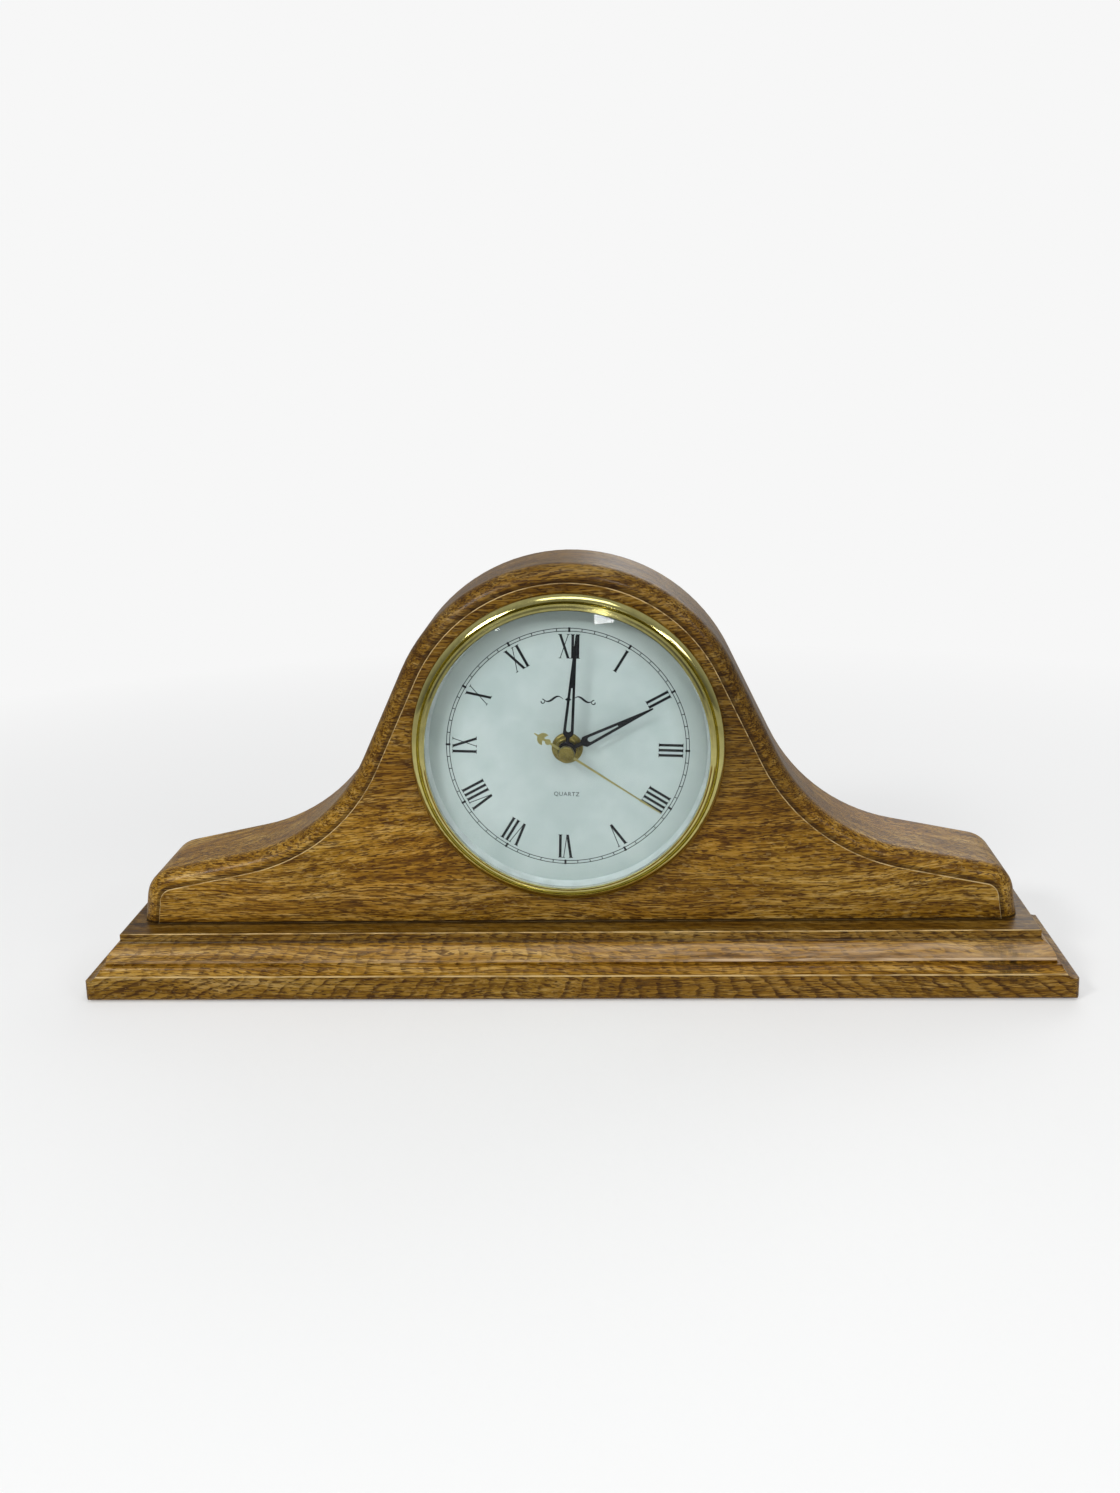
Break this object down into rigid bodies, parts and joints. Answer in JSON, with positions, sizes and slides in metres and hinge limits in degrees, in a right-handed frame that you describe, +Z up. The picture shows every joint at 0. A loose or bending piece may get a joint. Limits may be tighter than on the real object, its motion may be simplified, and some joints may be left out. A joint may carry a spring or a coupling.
{
  "type": "mantel clock",
  "caption": "Tambour mantel clock: arched oak case on a moulded plinth, with a round brass-framed quartz insert behind a domed lens.",
  "frame": {"origin": "middle of the footprint, on the surface that the clock stands on", "axes": "+X along the clock towards three o'clock, +Y towards its back, +Z up"},
  "size_m": [0.45, 0.0782, 0.1958],
  "materials": {
    "oak_plinth": "satin lacquer",
    "oak_front": "satin lacquer",
    "oak_back": "satin lacquer",
    "felt": "felted",
    "zinc_steel": "zinc plated",
    "bezel_brass": "polished",
    "hub_brass": "polished",
    "arbor_brass": "machined",
    "crystal": "clear",
    "clear_vinyl": "translucent",
    "dial_silver": "satin printed",
    "cup_plastic": "moulded",
    "band_rubber": "matte",
    "movement_plastic": "fine texture",
    "white_plastic": "moulded",
    "gear_plastic": "moulded acetal",
    "board_green": "solder mask",
    "chip_epoxy": "epoxy",
    "bright_steel": "bright",
    "copper_wire": "enamelled copper",
    "cell_can": "printed sleeve",
    "magnet": "sintered",
    "hand_black": "black satin",
    "hand_gilt": "gilt"
  },
  "bodies": {
    "case": {"base_plinth": "oak_plinth", "base_felt": "felt", "base_screws": "zinc_steel", "case_front_board": "oak_front", "case_back_board": "oak_back"},
    "insert": {"insert_cup": "cup_plastic", "friction_band": "band_rubber", "bezel_ring": "bezel_brass", "bezel_inner_ring": "bezel_brass", "crystal_lens": "crystal", "lens_gasket": "clear_vinyl", "dial_spacer": "white_plastic", "dial_face": "dial_silver", "movement_gasket": "band_rubber", "movement_front_shell": "movement_plastic", "movement_rear_shell": "movement_plastic", "centre_bushing": "hub_brass", "bushing_washer": "hub_brass", "bushing_nut": "hub_brass", "circuit_board": "board_green", "quartz_crystal": "bright_steel", "control_chip": "chip_epoxy", "coil_core": "bright_steel", "coil_bobbin": "white_plastic", "coil_winding": "copper_wire", "stator": "bright_steel", "battery_contact_positive": "bright_steel", "battery_contact_negative": "bright_steel"},
    "cell": {"battery": "cell_can"},
    "seconds_group": {"seconds_wheel": "gear_plastic", "seconds_hand": "hand_gilt", "seconds_cap": "hub_brass"},
    "rotor_group": {"rotor_magnet": "magnet", "rotor_pinion": "gear_plastic"},
    "fifth_group": {"fifth_wheel": "gear_plastic"},
    "third_group": {"third_wheel": "gear_plastic"},
    "centre_group": {"centre_wheel": "gear_plastic"},
    "minute_group": {"minute_arbor": "arbor_brass", "minute_hand": "hand_black"},
    "minute_wheel_group": {"minute_wheel": "gear_plastic"},
    "hour_group": {"hour_wheel": "gear_plastic", "hour_hand": "hand_black"},
    "setting_group": {"setting_pinion": "gear_plastic", "setting_knob": "white_plastic"}
  },
  "joints": [
    {"name": "insert_slide", "type": "slide", "parent": "case", "child": "insert", "axis": [0, -1, 0], "range_m": [0, 0.06]},
    {"name": "cell_slide", "type": "slide", "parent": "insert", "child": "cell", "axis": [0, 1, 0], "range_m": [0, 0.032]},
    {"name": "seconds_spin", "type": "hinge", "parent": "insert", "child": "seconds_group", "pos_m": [0, -0.0136, 0.1122], "axis": [0, 1, 0], "continuous": true},
    {"name": "fifth_spin", "type": "hinge", "parent": "insert", "child": "fifth_group", "pos_m": [0.00663, -0.0136, 0.11829], "axis": [0, 1, 0], "continuous": true},
    {"name": "rotor_spin", "type": "hinge", "parent": "insert", "child": "rotor_group", "pos_m": [0.01416, -0.0136, 0.12222], "axis": [0, 1, 0], "continuous": true},
    {"name": "third_spin", "type": "hinge", "parent": "insert", "child": "third_group", "pos_m": [-0.00575, -0.0136, 0.11846], "axis": [0, 1, 0], "continuous": true},
    {"name": "centre_spin", "type": "hinge", "parent": "insert", "child": "centre_group", "pos_m": [0, -0.0136, 0.1122], "axis": [0, 1, 0], "continuous": true},
    {"name": "minute_spin", "type": "hinge", "parent": "insert", "child": "minute_group", "pos_m": [0, -0.0136, 0.1122], "axis": [0, 1, 0], "continuous": true},
    {"name": "minute_wheel_spin", "type": "hinge", "parent": "insert", "child": "minute_wheel_group", "pos_m": [0.00832, -0.0136, 0.10877], "axis": [0, 1, 0], "continuous": true},
    {"name": "hour_spin", "type": "hinge", "parent": "insert", "child": "hour_group", "pos_m": [0, -0.0136, 0.1122], "axis": [0, 1, 0], "continuous": true},
    {"name": "setting_spin", "type": "hinge", "parent": "insert", "child": "setting_group", "pos_m": [0.01731, -0.0136, 0.10838], "axis": [0, 1, 0], "continuous": true}
  ],
  "couplings": [
    {"joint": "fifth_spin", "follows": "seconds_spin", "ratio": -4},
    {"joint": "rotor_spin", "follows": "seconds_spin", "ratio": 30},
    {"joint": "third_spin", "follows": "seconds_spin", "ratio": -0.13333},
    {"joint": "centre_spin", "follows": "seconds_spin", "ratio": 0.016667},
    {"joint": "minute_wheel_spin", "follows": "minute_spin", "ratio": -0.33333},
    {"joint": "hour_spin", "follows": "minute_spin", "ratio": 0.083333},
    {"joint": "setting_spin", "follows": "minute_spin", "ratio": 1}
  ]
}
